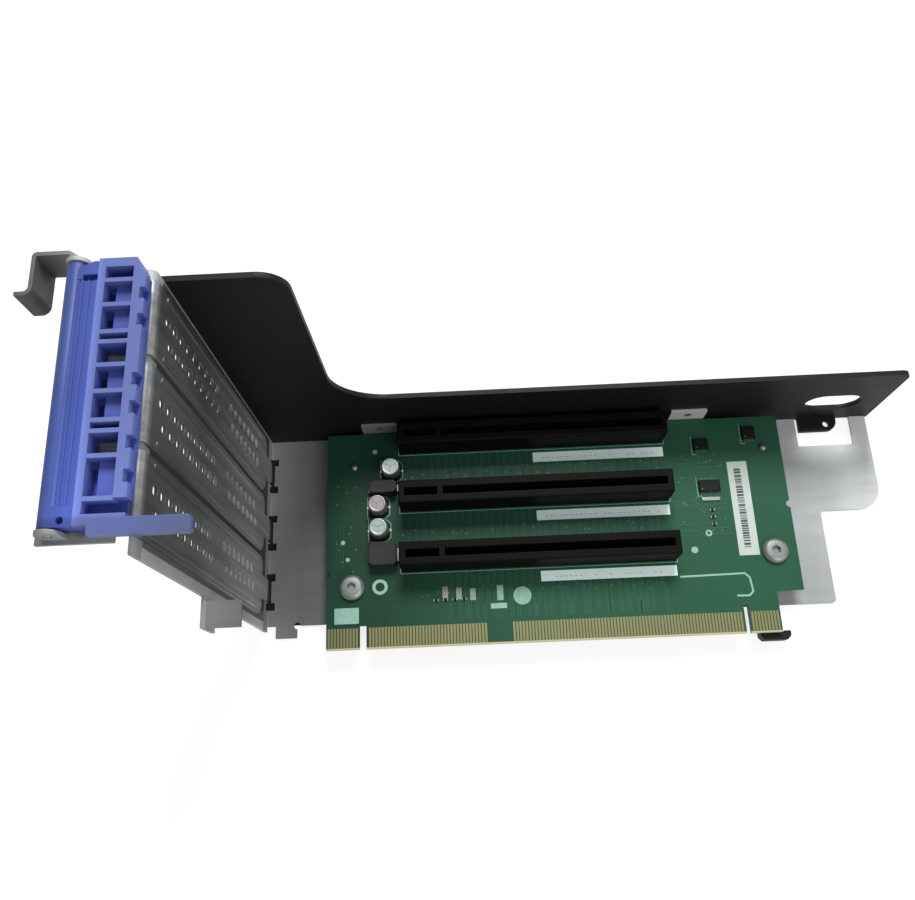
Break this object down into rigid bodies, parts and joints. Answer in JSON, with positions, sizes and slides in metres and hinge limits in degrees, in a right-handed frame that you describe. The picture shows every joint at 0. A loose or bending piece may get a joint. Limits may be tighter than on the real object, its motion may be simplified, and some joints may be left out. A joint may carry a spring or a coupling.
{
  "type": "pcie riser card cage",
  "caption": "Folded steel riser cage with a slotted board, vented filler brackets, a black top cover and a hinged blue retention latch.",
  "frame": {"origin": "Server corner datum: where the rear wall's outer plane, the plane of the gold edge's tips and the back plate's underside meet.", "axes": "+X along the gold edge from the rear wall towards the cover's tip, +Y from the gold edge towards the top cover, +Z out of the board's face, away from the back plate."},
  "size_m": [0.2418, 0.0827, 0.1258],
  "materials": {
    "cage_steel": "satin",
    "filler_steel": "satin",
    "fastener_steel": "satin",
    "cover_plastic": "matte",
    "slot_plastic": "satin",
    "board_green": "satin",
    "gold_contact": "polished",
    "latch_blue": "satin",
    "label_white": "matte",
    "can_aluminium": "satin",
    "part_dark": "matte"
  },
  "bodies": {
    "riser": {"board_label": "label_white", "board_screws": "fastener_steel", "board_standoffs": "fastener_steel", "cage": "cage_steel", "capacitor_bases": "part_dark", "capacitor_cans": "can_aluminium", "chip_resistors": "part_dark", "cover_rivets": "fastener_steel", "edge_contacts_back": "gold_contact", "edge_contacts_front": "gold_contact", "filler_bracket_1": "filler_steel", "filler_bracket_2": "filler_steel", "filler_bracket_3": "filler_steel", "guide_peg": "cover_plastic", "latch_pin": "fastener_steel", "locating_pins": "fastener_steel", "logic_chips": "part_dark", "peg_rivet": "fastener_steel", "power_inductors": "part_dark", "riser_board": "board_green", "slot_1": "slot_plastic", "slot_1_contacts": "gold_contact", "slot_2": "slot_plastic", "slot_2_contacts": "gold_contact", "slot_3": "slot_plastic", "slot_3_contacts": "gold_contact", "slot_strips": "label_white", "top_cover": "cover_plastic"},
    "latch": {"retention_latch": "latch_blue"}
  },
  "joints": [
    {"name": "latch_hinge", "type": "hinge", "parent": "riser", "child": "latch", "pos_m": [-0.015, 0.0429, 0.1227], "axis": [0, -1, 0], "range_deg": [0, 105]}
  ]
}
